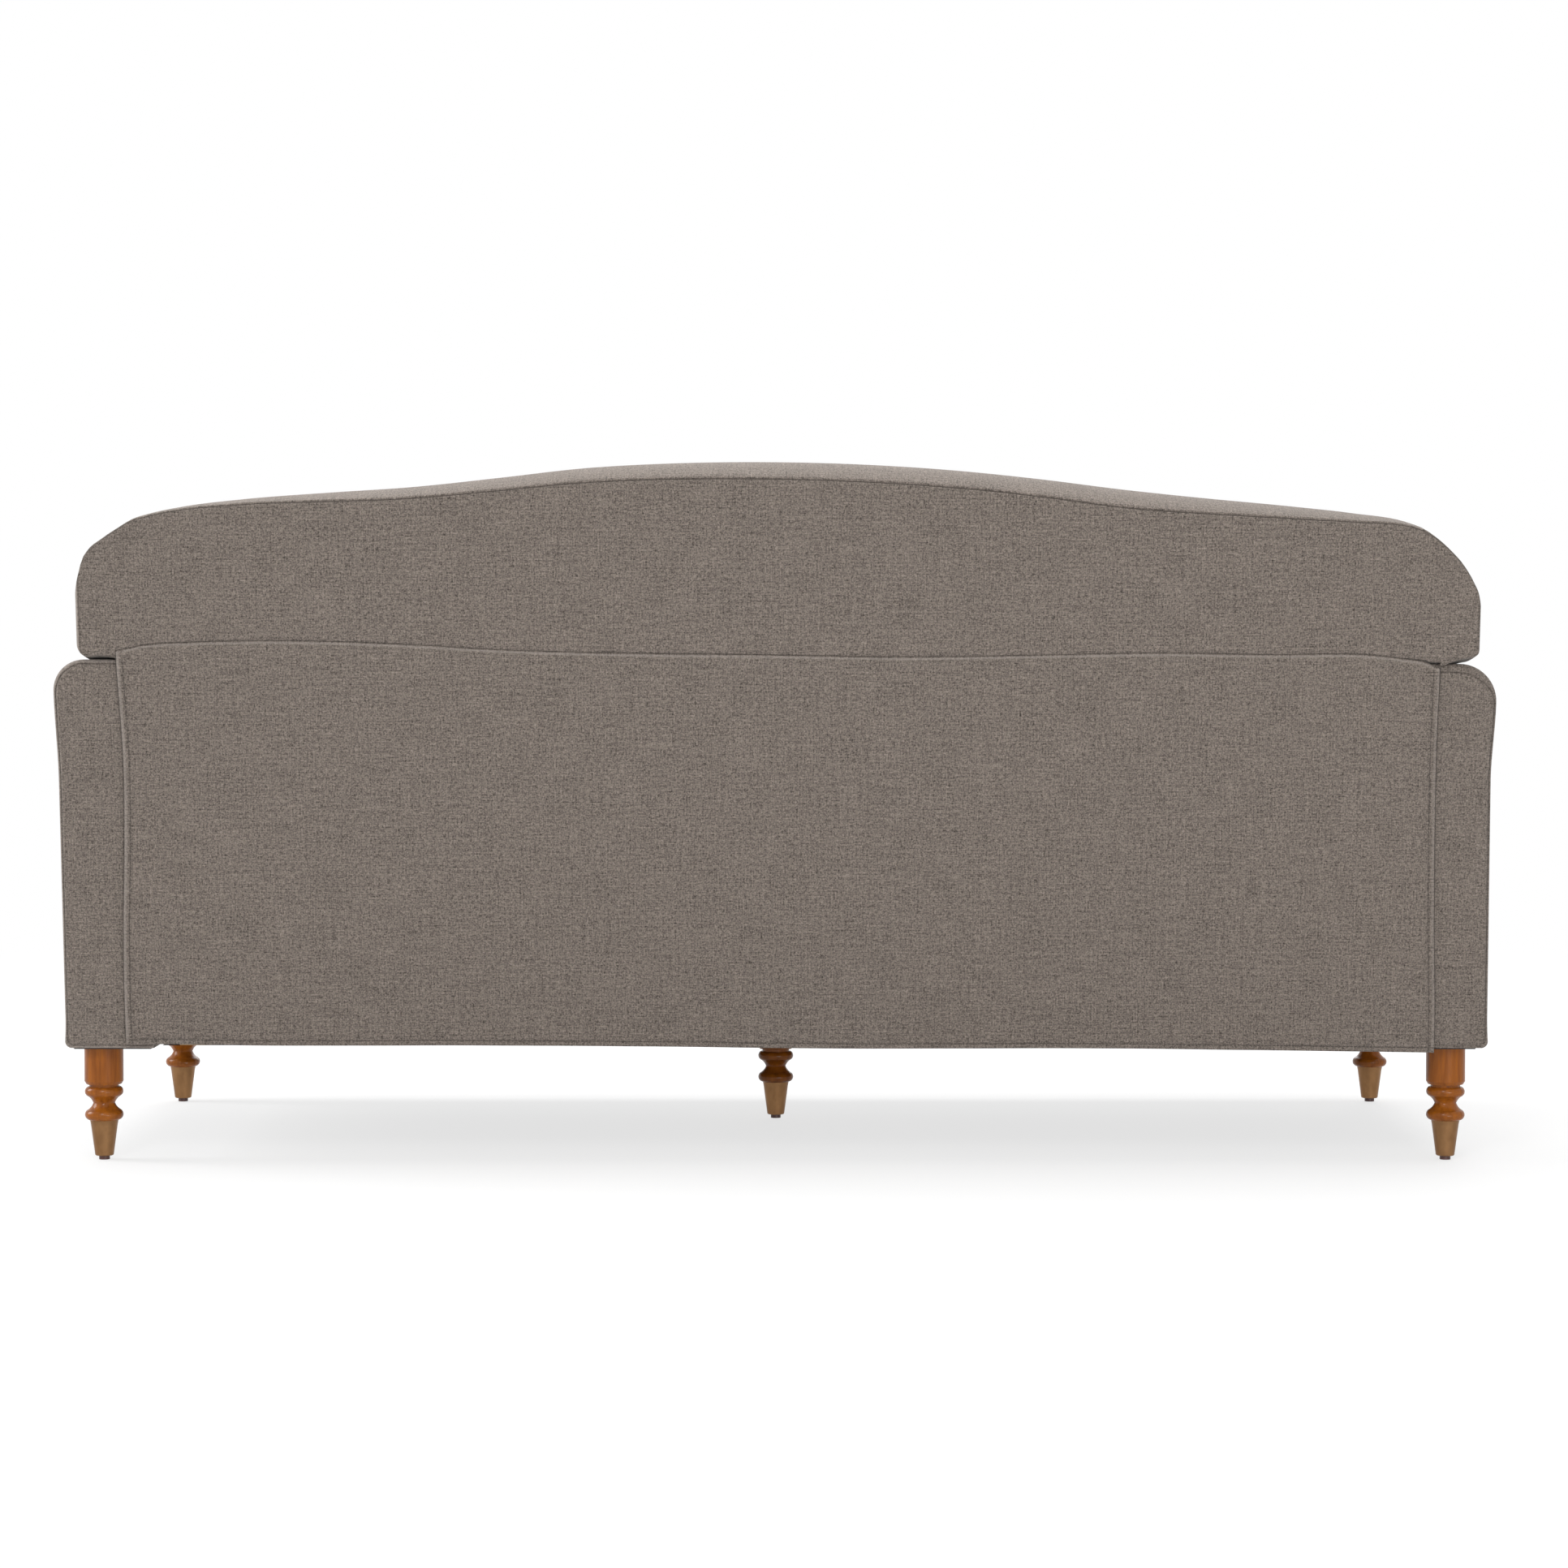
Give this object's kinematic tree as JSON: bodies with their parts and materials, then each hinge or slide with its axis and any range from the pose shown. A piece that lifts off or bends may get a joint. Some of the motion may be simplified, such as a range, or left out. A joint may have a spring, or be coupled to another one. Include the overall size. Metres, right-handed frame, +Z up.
{
  "type": "loveseat",
  "caption": "Camelback upholstered loveseat with rolled arms, loose seat cushions, a lift-up hemmed rear flap and turned wooden legs with brass toe ferrules.",
  "frame": {"origin": "on the floor under the middle of the settee's box", "axes": "+X towards the sitter's left, +Y towards the rear, +Z up"},
  "size_m": [1.83, 0.85, 0.9025],
  "materials": {
    "cloth": "taupe linen-look woven cloth with slubs",
    "foam": "cut upholstery foam",
    "frame_wood": "planed unfinished hardwood",
    "leg_wood": "turned hardwood, honey stain under gloss lacquer",
    "ferrule_brass": "satin antique brass",
    "glide": "dark red-brown moulded glide",
    "steel": "zinc-plated steel",
    "webbing": "woven elastic webbing",
    "dust_cloth": "black non-woven cloth",
    "tape": "hook-and-loop tape"
  },
  "bodies": {
    "settee_frame": {"back_bottom_rail": "frame_wood", "back_cover": "cloth", "back_lower_rail": "frame_wood", "back_pad": "foam", "back_tack_rail": "frame_wood", "back_top_rail": "frame_wood", "back_webbing": "webbing", "centre_back_post": "frame_wood", "centre_ferrule": "ferrule_brass", "centre_leg": "leg_wood", "centre_leg_block": "frame_wood", "centre_rail": "frame_wood", "corner_blocks": "frame_wood", "deck_cover": "cloth", "deck_pad": "foam", "dust_covers": "dust_cloth", "frame_bolts": "steel", "front_left_ferrule": "ferrule_brass", "front_left_leg": "leg_wood", "front_rail": "frame_wood", "front_right_ferrule": "ferrule_brass", "front_right_leg": "leg_wood", "glides": "glide", "hanger_bolts": "steel", "hook_tape": "tape", "left_arm_cover": "cloth", "left_arm_front_post": "frame_wood", "left_arm_pad": "foam", "left_arm_rear_post": "frame_wood", "left_arm_sill": "frame_wood", "left_arm_top_rail": "frame_wood", "left_back_post": "frame_wood", "left_side_rail": "frame_wood", "left_wing_board": "frame_wood", "leg_plate_screws": "steel", "leg_plates": "steel", "rear_left_ferrule": "ferrule_brass", "rear_left_leg": "leg_wood", "rear_rail": "frame_wood", "rear_right_ferrule": "ferrule_brass", "rear_right_leg": "leg_wood", "right_arm_cover": "cloth", "right_arm_front_post": "frame_wood", "right_arm_pad": "foam", "right_arm_rear_post": "frame_wood", "right_arm_sill": "frame_wood", "right_arm_top_rail": "frame_wood", "right_back_post": "frame_wood", "right_side_rail": "frame_wood", "right_wing_board": "frame_wood", "seat_springs": "steel", "spring_clips": "steel", "threaded_inserts": "steel"},
    "left_cushion": {"left_cushion_core": "foam", "left_cushion_cover": "cloth"},
    "right_cushion": {"right_cushion_core": "foam", "right_cushion_cover": "cloth"},
    "rear_flap": {"loop_tape": "tape", "rear_flap": "cloth"}
  },
  "joints": [
    {"name": "left_cushion_lift", "type": "slide", "parent": "settee_frame", "child": "left_cushion", "axis": [0, 0, 1], "range_m": [0, 0.36]},
    {"name": "right_cushion_lift", "type": "slide", "parent": "settee_frame", "child": "right_cushion", "axis": [0, 0, 1], "range_m": [0, 0.36]},
    {"name": "rear_flap_lift", "type": "hinge", "parent": "settee_frame", "child": "rear_flap", "pos_m": [0, 0.39539, 0.661], "axis": [1, 0, 0], "range_deg": [0, 95]}
  ]
}
